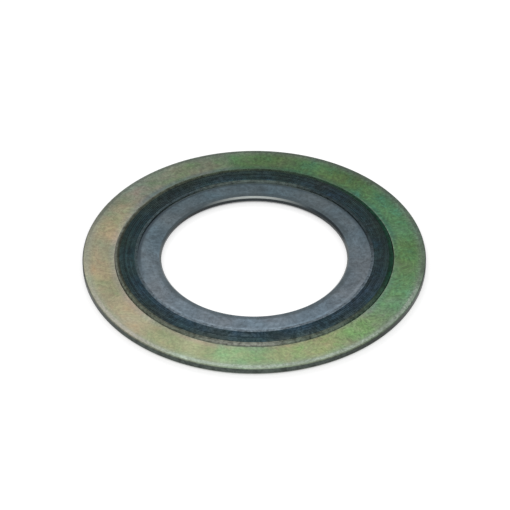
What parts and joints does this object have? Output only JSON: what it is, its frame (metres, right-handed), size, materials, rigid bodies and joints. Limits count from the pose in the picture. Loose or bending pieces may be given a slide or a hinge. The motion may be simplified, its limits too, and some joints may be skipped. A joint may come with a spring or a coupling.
{
  "type": "spiral wound gasket",
  "caption": "Flat round pipe flange gasket: plain inner ring, wound metal and graphite sealing band standing slightly proud, and a wide outer guide ring.",
  "frame": {"origin": "centre of the bore on the gasket's mid-plane", "axes": "+Z along the pipe axis, out of the upper sealing face; +X towards the angle where each turn begins to step outwards; both faces are alike"},
  "size_m": [0.1494, 0.1494, 0.0046],
  "materials": {
    "chromated_steel": "carbon steel with a yellow-green iridescent chromate finish, satin",
    "stainless_ring": "satin blue-grey stainless steel with fine turning marks",
    "stainless_hoop": "thin stainless strip on edge, satin",
    "graphite": "flexible graphite tape, dark grey with a slight sheen"
  },
  "bodies": {
    "root": {"guide_ring": "chromated_steel", "inner_ring": "stainless_ring", "winding_strip": "stainless_hoop", "filler_strip": "graphite"}
  },
  "joints": []
}
